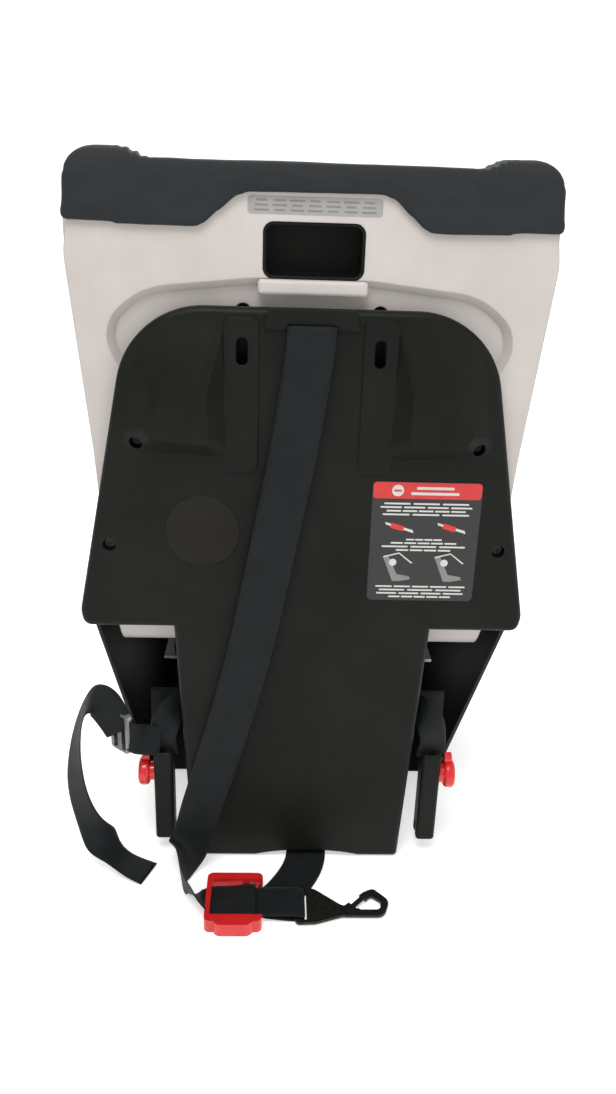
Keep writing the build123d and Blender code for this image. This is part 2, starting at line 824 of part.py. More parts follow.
def front_adjuster():
    """Housing of the harness adjuster on the nose of the pan."""
    body = block(-27, 27, front_y - 12, front_y - gap, pan_top + 4, pan_top + 32)
    body = fillet(body.edges().filter_by(Axis.X), 4)
    body -= block(-20, 20, front_y - 9.6, front_y - 4.4, pan_top, pan_top + 12)
    body -= block(-17, 17, front_y - 20, front_y - 3.6, pan_top + 9, pan_top + 30.6)
    body -= rod((-24, lever_y, lever_z), (24, lever_y, lever_z), 2)
    return body


def adjuster_lever():
    """Flap that frees the webbing when its lower edge is lifted."""
    body = block(-16.4, 16.4, front_y - 11.4, front_y - 8.4, pan_top + 10, lever_z)
    body += rod((-16.4, lever_y, lever_z), (16.4, lever_y, lever_z), 3)
    body -= rod((-20, lever_y, lever_z), (20, lever_y, lever_z), 2 + running)
    return body


def lever_pin():
    return rod((-24, lever_y, lever_z), (24, lever_y, lever_z), 2)


# ---- lower anchors -------------------------------------------------------------------------
def latch_box():
    """Left connector's plastic cover, open at its foot and front, where the jaw swings."""
    body = soft_block(latch_x - latch_thick / 2, latch_x + latch_thick / 2, latch_y - latch_deep / 2,
                      latch_y + latch_deep / 2, latch_bottom + 1, latch_top, 4)
    body -= block(latch_x - 5, latch_x + 5, latch_y - latch_deep, latch_y, 0, jaw_z + 4)
    body -= block(latch_x - 20, latch_x + 20, latch_y - 4, latch_y + 4, 0, latch_bottom + 19)
    body -= block(latch_x - 5, latch_x + 5, latch_y - 9.4, latch_y + 9.4, 0, latch_top - 42)
    body -= rod((latch_x + 4, latch_y, button_z), (latch_x + 40, latch_y, button_z), button_radius + gap)
    body -= block(latch_x - 3, latch_x + 3, latch_y - 9, latch_y + 9, latch_top - 8, latch_top + 2)
    return body


def latch_plates():
    """Steel side plates of one connector, with the mouth for the anchor bar."""
    side = outline([
        (latch_y - 9, latch_top - 42, 3),
        (latch_y + 9, latch_top - 42, 3),
        (latch_y + 9, latch_bottom, 4),
        (latch_y + 3.5, latch_bottom, 2),
        (latch_y + 3.5, latch_bottom + 18, 3.5),
        (latch_y - 3.5, latch_bottom + 18, 3.5),
        (latch_y - 3.5, latch_bottom, 2),
        (latch_y - 9, latch_bottom, 4),
    ])
    plates = []
    for low in (latch_x - 4.7, latch_x + 2.7):
        plate = across(side, low, low + 2)
        plate -= rod((latch_x - 10, latch_y, jaw_z), (latch_x + 10, latch_y, jaw_z), jaw_pin_radius)
        plates.append(plate.solid())
    return plates


def latch_jaw():
    """Pawl that closes the mouth, on its pin between the two plates."""
    side = outline([
        (latch_y - 7, jaw_z + 6, 3),
        (latch_y + 6, jaw_z + 6, 3),
        (latch_y + 6, jaw_z - 7, 3),
        (latch_y + 2, jaw_z - 7, 2),
        (latch_y - 2, latch_bottom + 3, 1),
        (latch_y - 7, latch_bottom + 3, 2),
    ])
    body = across(side, latch_x - 2.2, latch_x + 2.2)
    pin = rod((latch_x - 10, latch_y, jaw_z), (latch_x + 10, latch_y, jaw_z), jaw_pin_radius + running)
    return body - pin


def latch_button():
    """Red release knob on a stem in the connector's outer face."""
    knob = rod((latch_x + 14.6, latch_y, button_z), (latch_x + 26, latch_y, button_z), knob_radius)
    knob = fillet(knob.edges(), 4)
    knob += rod((latch_x + 14.6, latch_y, button_z + 19), (latch_x + 22, latch_y, button_z + 19), 5.5)
    return knob + rod((latch_x + 9.3, latch_y, button_z), (latch_x + 16, latch_y, button_z), button_radius)


def latch_pin():
    return rod((latch_x - 4.7, latch_y, jaw_z), (latch_x + 4.7, latch_y, jaw_z), jaw_pin_radius)


def both(piece):
    """Left and right copies of one solid as a group."""
    return Compound(children=[piece.solid(), mirrored(piece).solid()])


def latch_strap():
    """Webbing through the belt tunnel, hung over each side down to the two connectors."""
    body = block(-latch_x - 18, latch_x + 18, tunnel_y, tunnel_y + web_thick, tunnel_z - 18, tunnel_z + 18)
    for hand in (-1, 1):
        drop = ribbon([(tunnel_y + 1, tunnel_z + 17.2), (latch_y, tunnel_z + 17.2), (latch_y, latch_top - 8)],
                      [14], hand * (latch_x + 0.5), 36, web_thick)
        body += drop & block(-200, 200, 0, 300, latch_top + gap, 300)
        body += block(hand * latch_x - 2.6, hand * latch_x + 2.6, latch_y - web_thick / 2,
                      latch_y + web_thick / 2, latch_top - 7, latch_top + 4)
    return body


def latch_adjuster():
    """Three-bar slide that sets the length of the lower anchor webbing."""
    frame = Pos(tail_root_x, tail_root_z) * RectangleRounded(26, 44, 4)
    frame -= Pos(tail_root_x - 6, tail_root_z) * Rectangle(6, 38)
    frame -= Pos(tail_root_x + 6, tail_root_z) * Rectangle(6, 38)
    frame = along(frame, tail_y - 3, tail_y + 3)
    return frame.rotate(Axis((tail_root_x, tail_y, 0), (0, 0, 1)), slide_turn)


def latch_tail():
    """Free end of the lower anchor webbing: out of its slide, round in a loop, onto the floor."""
    line = FilletPolyline(*[(x, z) for x, z in tail_route], radius=tail_radii)
    band = trace(line, 30)
    hanging = along(band, tail_y - web_thick / 2, tail_y + web_thick / 2)
    hanging -= block(-400, 400, 0, 400, -100, gap)
    flat = outline([(x, y, 2) for x, y in tail_end])
    return hanging + extrude(Pos(0, 0, gap) * flat, web_thick)


# ---- tether --------------------------------------------------------------------------------
def tether_strap():
    """Webbing from the bezel down the rear cover and across the floor to the adjuster."""
    hang = outline([
        (web_width / 2, cover_top - 14, 1),
        (bend_x + web_width / 2, bend_z, 200),
        (drape_x + web_width / 2, 1, 6),
        (drape_x - web_width / 2, 1, 6),
        (bend_x - web_width / 2, bend_z, 200),
        (-web_width / 2, cover_top - 14, 1),
    ])
    body = along(hang, cover_face + 3 + gap, cover_face + 3 + gap + web_thick)
    edge = cover_face + 3 + gap
    bar_x = adjuster_x + adjuster_long / 2
    floor = outline([
        (drape_x - web_width / 2, edge, 1),
        (drape_x + web_width / 2, edge, 1),
        (drape_x + web_width / 2 - 4, adjuster_y - 4, 10),
        (bar_x + 4, adjuster_y + web_width / 2, 1),
        (bar_x - 9, adjuster_y + web_width / 2, 1),
        (bar_x - 9, adjuster_y - web_width / 2, 1),
        (bar_x + 2, adjuster_y - web_width / 2, 1),
        (bar_x + 2, adjuster_y - adjuster_wide / 2 - 3, 1),
    ])
    body += extrude(Pos(0, 0, 2.4) * floor, web_thick)
    body += along(Pos(0, cover_top - 14) * Rectangle(web_width, web_thick), cover_face - 9,
                  cover_face + 3 + gap + web_thick)
    return body


def tether_adjuster():
    """Red frame of the tether adjuster: one bar, two cheeks, slots for the sliding bar."""
    frame = RectangleRounded(adjuster_long, adjuster_wide, 6)
    window = Pos(3, 0) * RectangleRounded(adjuster_long - 16, web_width + 6, 2)
    body = extrude(frame, adjuster_high) - extrude(window, adjuster_high)
    body -= Pos(-adjuster_long / 2, 0, adjuster_high / 2) * Box(20, web_width + 6, 40)
    body -= Pos(0, 0, 0) * Box(adjuster_long - 12, web_width + 6, 60)
    slot = Pos(-14, 0, adjuster_high / 2) * Box(12, web_width + 12, 4.4)
    skirt = extrude(outline([
        (-adjuster_long / 2 + 4, adjuster_wide / 2 - 7, 1),
        (adjuster_long / 2 - 6, adjuster_wide / 2 - 7, 1),
        (adjuster_long / 2 - 12, adjuster_wide / 2 + 5, 7),
        (-adjuster_long / 2 + 12, adjuster_wide / 2 + 5, 9),
    ]), adjuster_high)
    body = body + skirt - slot
    body -= Pos(adjuster_long / 2 - 3, 0, 2) * Box(8, web_width + 6, 7)
    place = Pos(adjuster_x, adjuster_y, 0)
    return place * body


def tether_bar():
    """Steel bar that slides in the cheeks and nips the webbing."""
    x = adjuster_x - 17
    return block(x - 2.6, x + 2.6, adjuster_y - web_width / 2 - 5.6, adjuster_y + web_width / 2 + 5.6,
                 adjuster_high / 2 - 2, adjuster_high / 2 + 2)


def tether_lead():
    """Webbing from the adjuster's bar to the hook."""
    return block(hook_x - 3.2, adjuster_x - 21, adjuster_y - 20, adjuster_y + 20, hook_lift + 3.3,
                 hook_lift + 3.3 + web_thick)


def tether_tail():
    """Spare webbing that runs back under the base."""
    flat = outline([
        (adjuster_x - 30, adjuster_y + 18, 1),
        (adjuster_x - 30, adjuster_y - 20, 1),
        (arch_x + 21, 200, 10),
        (arch_x + 21, 150, 1),
        (arch_x - 21, 150, 1),
        (arch_x - 21, 204, 10),
        (arch_x + 8, adjuster_y - 8, 10),
        (arch_x + 24, adjuster_y + 18, 4),
    ])
    return extrude(Pos(0, 0, gap) * flat, web_thick)


def tether_hook():
    """Flat steel hook with a webbing slot, a narrow neck and a curled tip."""
    plate = outline([
        (hook_x + 8, adjuster_y - 24, 5),
        (hook_x + 8, adjuster_y + 26, 5),
        (hook_x - 12, adjuster_y + 25, 12),
        (hook_x - 38, adjuster_y + 16, 12),
        (hook_x - 46, adjuster_y + 15, 2),
        (hook_x - 46, adjuster_y + 4, 2),
        (hook_x - 38, adjuster_y + 2, 10),
        (hook_x - 12, adjuster_y - 20, 14),
    ])
    eye = outline([
        (hook_x - 38, adjuster_y + 16, 4),
        (hook_x - 80, adjuster_y + 16, 10),
        (hook_x - 87, adjuster_y - 4, 10),
        (hook_x - 72, adjuster_y - 21, 5),
        (hook_x - 62, adjuster_y - 16, 4),
        (hook_x - 40, adjuster_y + 4, 6),
    ])
    hollow = outline([
        (hook_x - 51, adjuster_y + 8, 3),
        (hook_x - 77, adjuster_y + 8, 5),
        (hook_x - 78, adjuster_y - 3, 4),
        (hook_x - 69, adjuster_y - 11, 3),
    ])
    mouth = Pos(hook_x - 54.4, adjuster_y - 3.5) * Rectangle(15, 15, rotation=42)
    hole = Pos(hook_x, adjuster_y + 1) * Rectangle(7, 41)
    body = extrude(Pos(0, 0, hook_lift) * (plate + eye - hollow - mouth - hole), 3)
    return body + rod((gate_x, gate_y, hook_lift + 2), (gate_x, gate_y, hook_lift + 6), 2)


def tether_gate():
    """Spring gate over the hook's mouth, on a stud."""
    hub = Pos(gate_x, gate_y) * Circle(4.5)
    tip = Vector(hook_x - 68 - gate_x, adjuster_y - 15 - gate_y)
    bar = Pos(gate_x + tip.X / 2, gate_y + tip.Y / 2) * Rectangle(
        tip.length, 5, rotation=degrees(atan2(tip.Y, tip.X)))
    body = extrude(Pos(0, 0, hook_lift + 3.3) * (hub + bar), 1.6)
    return body - rod((gate_x, gate_y, 2), (gate_x, gate_y, 12), 2 + running)


if __name__ == "__main__":
    os.makedirs("parts", exist_ok=True)
    plates = latch_plates()
    pieces = {
        "seat_shell": seat_shell(),
        "side_lugs": side_lugs(),
        "handle_liner": handle_liner(),
        "rear_cover": rear_cover(),
        "cover_screws": cover_screws(),
        "tether_bezel": tether_bezel(),
        "rear_disc": rear_disc(),
        "info_label": info_label(),
        "base_tray": base_tray(),
        "recline_foot": recline_foot(),
        "foot_pin": foot_pin(),
        "headrest_rails": headrest_rails(),
        "headrest_carriage": headrest_carriage(),
        "headrest_shell": headrest_shell(),
        "headrest_foam": headrest_foam(),
        "headrest_pad": headrest_pad(),
        "headrest_grip": headrest_grip(),
        "back_foam": back_foam(),
        "wing_foam": wing_foam(),
        "back_cushion": back_cushion(),
        "seat_cushion": seat_cushion(),
        "hip_bolster_left": hip_bolster(),
        "hip_bolster_right": mirrored(hip_bolster()),
        "wing_pad_left": wing_pad(),
        "wing_pad_right": mirrored(wing_pad()),
        "top_cover": top_cover(),
        "harness_left": harness_strap(),
        "harness_right": mirrored(harness_strap()),
        "harness_anchors": harness_anchors(),
        "splitter_plate": splitter_plate(),
        "adjuster_web": adjuster_web(),
        "shoulder_pad_left": shoulder_pad(),
        "shoulder_pad_right": mirrored(shoulder_pad()),
        "chest_clip_socket": chest_clip_socket(),
        "chest_clip_tongue": chest_clip_tongue(),
        "chest_clip_button": chest_clip_button(),
        "crotch_strap": crotch_strap(),
        "buckle_housing": buckle_housing(),
        "buckle_button": buckle_button(),
        "buckle_tongues": buckle_tongues(),
        "front_adjuster": front_adjuster(),
        "adjuster_lever": adjuster_lever(),
        "lever_pin": lever_pin(),
        "latch_covers": both(latch_box()),
        "latch_plates": Compound(children=plates + [mirrored(plate) for plate in plates]),
        "latch_pins": both(latch_pin()),
        "latch_jaw_left": latch_jaw(),
        "latch_jaw_right": mirrored(latch_jaw()),
        "latch_button_left": latch_button(),
        "latch_button_right": mirrored(latch_button()),
        "latch_strap": latch_strap(),
        "latch_adjuster": latch_adjuster(),
        "latch_tail": latch_tail(),
        "tether_strap": tether_strap(),
        "tether_adjuster": tether_adjuster(),
        "tether_bar": tether_bar(),
        "tether_lead": tether_lead(),
        "tether_tail": tether_tail(),
        "tether_hook": tether_hook(),
        "tether_gate": tether_gate(),
    }
    for name, piece in pieces.items():
        export_step(piece, f"parts/{name}.step")
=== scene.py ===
"""Looks of the convertible car seat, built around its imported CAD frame. Metres, +Z up.

The child faces -Y, and the camera stands behind the seat, on its +Y side.
"""
import bpy
import bmesh
import json
from math import cos, exp, pi, radians, sin
from mathutils import Matrix, Vector, noise


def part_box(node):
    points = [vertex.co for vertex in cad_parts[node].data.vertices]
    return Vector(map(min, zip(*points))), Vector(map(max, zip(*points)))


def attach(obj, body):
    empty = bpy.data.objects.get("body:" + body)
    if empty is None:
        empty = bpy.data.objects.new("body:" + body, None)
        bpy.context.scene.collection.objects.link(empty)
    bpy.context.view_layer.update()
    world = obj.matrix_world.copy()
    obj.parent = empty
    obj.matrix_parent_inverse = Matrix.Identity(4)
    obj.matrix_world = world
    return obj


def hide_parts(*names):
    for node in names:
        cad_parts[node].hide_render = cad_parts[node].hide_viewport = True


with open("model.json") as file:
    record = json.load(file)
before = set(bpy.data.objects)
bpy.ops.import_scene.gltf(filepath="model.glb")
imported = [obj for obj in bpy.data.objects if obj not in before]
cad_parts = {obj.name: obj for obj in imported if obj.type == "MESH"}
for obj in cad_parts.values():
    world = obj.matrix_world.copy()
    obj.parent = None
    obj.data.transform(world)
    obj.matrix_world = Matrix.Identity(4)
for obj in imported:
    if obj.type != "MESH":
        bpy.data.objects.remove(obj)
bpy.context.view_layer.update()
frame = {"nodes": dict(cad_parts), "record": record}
nodes = frame["nodes"]

# ---- camera ---------------------------------------------------------------------------------
IMAGE_HEIGHT = 1094
FOCAL_PIXELS = 900
SENSOR_MM = 36.0
camera_place = Vector((0.029, 0.9765, 0.660))
camera_yaw = radians(-2.32)
camera_pitch = radians(21.28)
camera_roll = radians(1.9)


def make_camera():
    forward = Vector((sin(camera_yaw), -cos(camera_yaw), 0))
    right = Vector((-cos(camera_yaw), -sin(camera_yaw), 0))
    up = Vector((0, 0, 1))
    ahead = forward * cos(camera_pitch) - up * sin(camera_pitch)
    above = up * cos(camera_pitch) + forward * sin(camera_pitch)
    side = right * cos(camera_roll) + above * sin(camera_roll)
    top = above * cos(camera_roll) - right * sin(camera_roll)
    data = bpy.data.cameras.new("camera")
    data.sensor_width = SENSOR_MM
    data.lens = SENSOR_MM * FOCAL_PIXELS / IMAGE_HEIGHT
    camera = bpy.data.objects.new("camera", data)
    turn = Matrix((side, top, -ahead)).transposed().to_4x4()
    camera.matrix_world = Matrix.Translation(camera_place) @ turn
    bpy.context.collection.objects.link(camera)
    bpy.context.scene.camera = camera


make_camera()


# ---- light and floor ------------------------------------------------------------------------
def area_light(name, place, aim, size, power, colour=(1, 1, 1)):
    data = bpy.data.lights.new(name, "AREA")
    data.energy = power
    data.size = size
    data.color = colour
    light = bpy.data.objects.new(name, data)
    light.location = place
    light.rotation_euler = (Vector(aim) - Vector(place)).to_track_quat("-Z", "Y").to_euler()
    bpy.context.collection.objects.link(light)


SKY_COLOUR = (1.0, 0.99, 0.97, 1)
SKY_STRENGTH = 0.50
FLOOR_COLOUR = (0.86, 0.86, 0.85, 1)
FLOOR_GLOW = 0.5
STAGE_SIZE = 12


def make_stage():
    """Even sky, three soft lights, and a pale floor and backdrop."""
    world = bpy.data.worlds.new("studio")
    world.use_nodes = True
    sky = world.node_tree.nodes["Background"]
    sky.inputs["Color"].default_value = SKY_COLOUR
    sky.inputs["Strength"].default_value = SKY_STRENGTH
    bpy.context.scene.world = world
    bpy.context.scene.view_settings.view_transform = "Standard"
    area_light("key", (0.25, 1.1, 2.2), (0, 0, 0.3), 0.9, 26)
    area_light("fill", (-1.5, 1.2, 1.0), (0, 0, 0.3), 1.4, 5)
    area_light("front", (0.3, -1.8, 1.6), (0, 0, 0.3), 1.4, 20)
    bpy.ops.mesh.primitive_plane_add(size=STAGE_SIZE)
    floor = bpy.context.object
    floor.name = "floor"
    bpy.ops.mesh.primitive_plane_add(size=STAGE_SIZE, location=(0, -5, 0),
                                     rotation=(radians(90), 0, 0))
    backdrop = bpy.context.object
    backdrop.name = "backdrop"
    paint = Paint("floor_paint")
    paint.shader.inputs["Base Color"].default_value = FLOOR_COLOUR
    paint.shader.inputs["Roughness"].default_value = 0.7
    paint.shader.inputs["Emission Color"].default_value = (1, 1, 1, 1)
    paint.shader.inputs["Emission Strength"].default_value = FLOOR_GLOW
    floor.data.materials.append(paint.material)
    backdrop.data.materials.append(paint.material)


# ---- materials ------------------------------------------------------------------------------
class Paint:
    """A node material with short calls for the nodes that the finishes share."""

    def __init__(self, name):
        self.material = bpy.data.materials.new(name)
        self.material.use_nodes = True
        self.tree = self.material.node_tree
        self.shader = self.tree.nodes["Principled BSDF"]
        self.coords = None

    def node(self, kind, **values):
        made = self.tree.nodes.new(kind)
        for key, value in values.items():
            if hasattr(made, key):
                setattr(made, key, value)
            else:
                made.inputs[key.replace("_", " ")].default_value = value
        return made

    def link(self, out, into):
        self.tree.links.new(out, into)

    def place(self, kind="Object"):
        if self.coords is None:
            self.coords = self.node("ShaderNodeTexCoord")
        return self.coords.outputs[kind]

    def noise(self, scale, detail=3, kind="Object", stretch=None):
        made = self.node("ShaderNodeTexNoise", Scale=scale, Detail=detail)
        source = self.place(kind)
        if stretch:
            mapping = self.node("ShaderNodeMapping", Scale=stretch)
            self.link(source, mapping.inputs["Vector"])
            source = mapping.outputs[0]
        self.link(source, made.inputs["Vector"])
        return made.outputs["Fac"]

    def cells(self, scale, kind="Object", feature="F1"):
        made = self.node("ShaderNodeTexVoronoi", Scale=scale, feature=feature)
        self.link(self.place(kind), made.inputs["Vector"])
        return made.outputs["Distance"]

    def wave(self, scale, direction="X", kind="Object", distortion=0.0, profile="SIN"):
        made = self.node("ShaderNodeTexWave", Scale=scale, Distortion=distortion,
                         bands_direction=direction, wave_profile=profile)
        self.link(self.place(kind), made.inputs["Vector"])
        return made.outputs["Fac"]

    def math(self, operation, a, b):
        made = self.node("ShaderNodeMath", operation=operation)
        for value, socket in ((a, made.inputs[0]), (b, made.inputs[1])):
            if hasattr(value, "links"):
                self.link(value, socket)
            else:
                socket.default_value = value
        return made.outputs[0]

    def mix(self, first, first_share, second, second_share):
        """Sum of two patterns, each times its share."""
        return self.math("ADD", self.math("MULTIPLY", first, first_share),
                         self.math("MULTIPLY", second, second_share))

    def colour(self, factor, low, high, start, end):
        """Base colour that runs from low to high while factor runs from start to end."""
        ramp = self.node("ShaderNodeValToRGB")
        ends = zip(ramp.color_ramp.elements, (low, high), (start, end))
        for element, shade, position in ends:
            element.color = (*shade, 1)
            element.position = position
        self.link(factor, ramp.inputs["Fac"])
        self.link(ramp.outputs["Color"], self.shader.inputs["Base Color"])

    def rough(self, factor, low, high):
        made = self.node("ShaderNodeMapRange")
        made.inputs["To Min"].default_value = low
        made.inputs["To Max"].default_value = high
        self.link(factor, made.inputs["Value"])
        self.link(made.outputs["Result"], self.shader.inputs["Roughness"])

    def bump(self, height, strength, distance):
        made = self.node("ShaderNodeBump", Strength=strength, Distance=distance)
        self.link(height, made.inputs["Height"])
        last = self.shader.inputs["Normal"].links
        if last:
            self.link(last[0].from_socket, made.inputs["Normal"])
        self.link(made.outputs["Normal"], self.shader.inputs["Normal"])


def moulded(name, low, high, rough=(0.4, 0.55), grain=900, depth=0.00008, specular=0.5):
    """Moulded plastic: fine texture, faint cloudiness, soft streaky scuffs, rounded edges."""
    paint = Paint(name)
    cloud = paint.noise(14, 4)
    scuff = paint.noise(160, 6, stretch=(1, 1, 0.2))
    paint.colour(paint.mix(cloud, 0.8, scuff, 0.2), low, high, 0.3, 0.75)
    paint.rough(scuff, *rough)
    edge = paint.node("ShaderNodeBevel", samples=4, Radius=0.002)
    paint.link(edge.outputs["Normal"], paint.shader.inputs["Normal"])
    paint.bump(paint.noise(grain, 2), 0.35, depth)
    paint.shader.inputs["Specular IOR Level"].default_value = specular
    return paint.material


def glossy(name, low, high, rough=(0.16, 0.3)):
    paint = Paint(name)
    cloud = paint.noise(40, 4)
    paint.colour(cloud, low, high, 0.3, 0.7)
    paint.rough(paint.noise(220, 5), *rough)
    paint.bump(paint.noise(500, 2), 0.2, 0.00004)
    paint.shader.inputs["Coat Weight"].default_value = 0.25
    return paint.material


def metal(name, low, high, rough=(0.25, 0.45), metallic=1.0):
    paint = Paint(name)
    brush = paint.noise(260, 5, stretch=(1, 1, 0.06))
    paint.colour(brush, low, high, 0.25, 0.8)
    paint.rough(brush, *rough)
    paint.bump(brush, 0.2, 0.00005)
    paint.shader.inputs["Metallic"].default_value = metallic
    return paint.material


def bead_foam(name):
    paint = Paint(name)
    beads = paint.cells(260)
    paint.colour(beads, (0.085, 0.088, 0.094), (0.045, 0.047, 0.051), 0.1, 0.7)
    paint.rough(beads, 0.6, 0.8)
    paint.bump(beads, 0.8, -0.0006)
    return paint.material


def knit(name, low, high, pitch=900, sheen=0.35):
    """Close knit fabric: two crossed rows of loops, with a soft sheen."""
    paint = Paint(name)
    rows = paint.wave(pitch / 3.1, "Z", distortion=1.2)
    loops = paint.wave(pitch / 3.1, "X", distortion=1.2)
    depth = paint.wave(pitch / 3.1, "Y", distortion=1.2)
    weave = paint.mix(rows, loops, depth, 0.5)
    cloud = paint.noise(30, 5)
    paint.colour(paint.mix(weave, 0.45, cloud, 0.55), low, high, 0.25, 0.85)
    paint.rough(cloud, 0.72, 0.92)
    paint.bump(weave, 0.5, 0.0003)
    paint.shader.inputs["Sheen Weight"].default_value = sheen
    paint.shader.inputs["Sheen Roughness"].default_value = 0.45
    return paint.material


def webbing(name, low, high):
    """Woven strap: ribs along it and a fine twill across them, from the strap's own UVs."""
    paint = Paint(name)
    ribs = paint.wave(7.5, "X", "UV")
    twill = paint.wave(22, "DIAGONAL", "UV", distortion=0.6)
    weave = paint.mix(ribs, 0.6, twill, 0.4)
    cloud = paint.noise(45, 5)
    paint.colour(paint.mix(weave, 0.5, cloud, 0.5), low, high, 0.25, 0.8)
    paint.rough(cloud, 0.5, 0.72)
    paint.bump(weave, 0.6, 0.0004)
    paint.shader.inputs["Specular IOR Level"].default_value = 0.16
    paint.shader.inputs["Sheen Weight"].default_value = 0.05
    paint.shader.inputs["Sheen Roughness"].default_value = 0.4
    return paint.material


make_stage()
finish_of = {
    "shell_plastic": moulded(
        "shell_plastic", (0.50, 0.462, 0.44), (0.58, 0.54, 0.515), (0.36, 0.48)),
    "cover_plastic": moulded(
        "cover_plastic", (0.0060, 0.0070, 0.0056), (0.0115, 0.0125, 0.0102), (0.38, 0.52),
        700, 0.00014, 0.13),
    "red_plastic": glossy("red_plastic", (0.60, 0.012, 0.014), (0.74, 0.024, 0.024)),
    "dark_fabric": knit(
        "dark_fabric", (0.0035, 0.0052, 0.007), (0.012, 0.0165, 0.0205), 1500, 0.10),
    "seat_fabric": knit("seat_fabric", (0.03, 0.034, 0.04), (0.085, 0.09, 0.1), 700),
    "webbing": webbing("webbing_weave", (0.004, 0.0052, 0.0058), (0.0155, 0.0195, 0.0215)),
    "foam": bead_foam("bead_foam"),
    "steel": metal("zinc_steel", (0.42, 0.42, 0.43), (0.62, 0.62, 0.63)),
    "black_steel": metal(
        "black_steel", (0.012, 0.012, 0.01), (0.04, 0.038, 0.032), (0.3, 0.5), 0.6),
    "label_face": moulded(
        "label_face", (0.012, 0.012, 0.012), (0.02, 0.02, 0.02), (0.3, 0.4), 300, 0.00003),
    "disc_plastic": moulded(
        "disc_plastic", (0.013, 0.0115, 0.010), (0.019, 0.017, 0.015), (0.45, 0.55),
        900, 0.00008, 0.12),
}
slot_of = {entry["node"]: entry["material_slot"] for entry in frame["record"]["subparts"]}


def dress_frame():
    """Give every carried-over CAD node the finish of its slot."""
    for name, piece in nodes.items():
        finish = finish_of["black_steel" if name == "cover_screws" else slot_of[name]]
        piece.data.materials.clear()
        piece.data.materials.append(finish)
        for polygon in piece.data.polygons:
            polygon.material_index = 0


dress_frame()


# ---- shared shapes --------------------------------------------------------------------------
def mm(*values):
    """Millimetres to a point in metres."""
    return Vector(values) / 1000


def add_piece(name, mesh, slot, body, *replaced):
    """Link a mesh with its finish, let it ride on a body and stand for its CAD nodes."""
    mesh.materials.clear()
    mesh.materials.append(finish_of[slot])
    for polygon in mesh.polygons:
        polygon.use_smooth = True
    piece = bpy.data.objects.new(name, mesh)
    bpy.context.collection.objects.link(piece)
    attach(piece, body)
    if replaced:
        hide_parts(*replaced)
    return piece


def smooth_line(points):
    """Points along the NURBS spline that has these control points."""
    data = bpy.data.curves.new("route", "CURVE")
    data.dimensions = "3D"
    spline = data.splines.new("NURBS")
    spline.points.add(len(points) - 1)
    for point, place in zip(spline.points, points):
        point.co = (*place, 1)
    spline.order_u = 3
    spline.use_endpoint_u = True
    spline.resolution_u = 10
    route = bpy.data.objects.new("route", data)
    bpy.context.collection.objects.link(route)
    mesh = bpy.data.meshes.new_from_object(route)
    line = [vertex.co.copy() for vertex in mesh.vertices]
    bpy.data.objects.remove(route)
    bpy.data.meshes.remove(mesh)
    return line


WEB_THICK = 0.0016
WEB_RIPPLE = 0.0003
WEB_STEPS = 12


def ribbon(name, stops, width, body, *replaced):
    """Woven strap through stops of (route point, direction across the strap), with its own UVs."""
    line = smooth_line([place for place, across in stops])
    edge = smooth_line([place + across.normalized() * 0.05 for place, across in stops])
    mesh = bpy.data.meshes.new(name)
    build = bmesh.new()
    uv = build.loops.layers.uv.new("UVMap")
    rings = []
    travel = 0.0
    travels = []
    for i, centre in enumerate(line):
        ahead = line[min(i + 1, len(line) - 1)] - line[max(i - 1, 0)]
        ahead.normalize()
        across = edge[i] - centre
        across = (across - ahead * across.dot(ahead)).normalized()
        normal = across.cross(ahead)
        travel += (centre - line[i - 1]).length if i else 0
        travels.append(travel)
        wobble = noise.noise(centre * 14 + Vector((travel * 9, 3, 7))) * WEB_RIPPLE
        ring = []
        for face in (1, -1):
            for k in range(WEB_STEPS + 1):
                side = (2 * k / WEB_STEPS - 1) * face
                height = WEB_THICK / 2 * (1 - abs(side) ** 10) ** 0.5 + 0.00005
                cup = wobble * (1 - 2 * side * side)
                place = centre + across * side * width / 2 + normal * (face * height + cup)
                ring.append(build.verts.new(place))
        rings.append(ring)
    count = 2 * (WEB_STEPS + 1)
    for i in range(len(rings) - 1):
        for k in range(count):
            after = (k + 1) % count
            near, far = rings[i], rings[i + 1]
            polygon = build.faces.new((near[k], near[after], far[after], far[k]))
            corners = ((i, k), (i, k + 1), (i + 1, k + 1), (i + 1, k))
            for loop, (row, column) in zip(polygon.loops, corners):
                share = column % (WEB_STEPS + 1) / WEB_STEPS if column != count else 0
                loop[uv].uv = (share, travels[row] / width)
    build.faces.new(list(reversed(rings[0])))
    build.faces.new(rings[-1])
    bmesh.ops.recalc_face_normals(build, faces=build.faces)
    build.to_mesh(mesh)
    build.free()
    return add_piece(name, mesh, "webbing", body, *replaced), line, travel


def plate(name, corners, low, high, slot, body):
    """Flat piece between two depths, with a given outline seen from behind."""
    mesh = bpy.data.meshes.new(name)
    build = bmesh.new()
    rows = []
    for level in (low, high):
        row = [build.verts.new((a, level, b)) for a, b in corners]
        rows.append(row)
    build.faces.new(rows[0])
    build.faces.new(list(reversed(rows[1])))
    for k in range(len(corners)):
        after = (k + 1) % len(corners)
        build.faces.new((rows[0][k], rows[1][k], rows[1][after], rows[0][after]))
    bmesh.ops.recalc_face_normals(build, faces=build.faces)
    build.to_mesh(mesh)
    build.free()
    return add_piece(name, mesh, slot, body)


def rounded(x, z, width, height, radius):
    """Rounded rectangle round a centre."""
    corners = []
    for quarter, (sx, sz) in enumerate(((1, 1), (-1, 1), (-1, -1), (1, -1))):
        for step in range(5):
            angle = pi / 2 * (quarter + step / 4)
            corners.append((x + sx * (width / 2 - radius) + radius * cos(angle),
                            z + sz * (height / 2 - radius) + radius * sin(angle)))
    return corners


